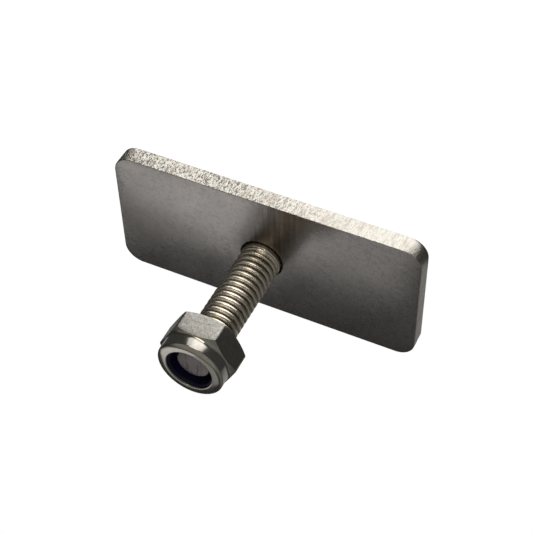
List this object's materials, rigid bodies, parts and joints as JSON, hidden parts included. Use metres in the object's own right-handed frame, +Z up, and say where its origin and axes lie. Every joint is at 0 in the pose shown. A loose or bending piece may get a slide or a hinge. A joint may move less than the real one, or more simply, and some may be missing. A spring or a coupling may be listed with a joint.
{
  "type": "t-bolt",
  "caption": "Rectangular head plate with a threaded stud standing square on it, and a nylon-insert lock nut that screws along the stud.",
  "frame": {"origin": "the point where the stud's axis meets the plate's back face", "axes": "+Z up the stud, towards the nut; X along the plate's length"},
  "size_m": [0.046, 0.0209, 0.0248],
  "materials": {
    "plate_steel": "satin",
    "stud_steel": "bright rolled",
    "weld_steel": "ground flush",
    "nut_steel": "polished",
    "nylon": "smooth"
  },
  "bodies": {
    "bolt": {"plate": "plate_steel", "stud": "stud_steel", "back_weld": "weld_steel"},
    "ring": {"nylon_insert": "nylon"},
    "nut": {"lock_nut": "nut_steel"}
  },
  "joints": [
    {"name": "nut_travel", "type": "slide", "parent": "bolt", "child": "ring", "axis": [0, 0, 1], "range_m": [-0.015, 0.004]},
    {"name": "nut_spin", "type": "hinge", "parent": "ring", "child": "nut", "pos_m": [0, 0, 0.0187], "axis": [0, 0, 1], "range_deg": [-5400, 1440]}
  ],
  "couplings": [
    {"joint": "nut_spin", "follows": "nut_travel", "rad_per_m": 6283.2}
  ]
}
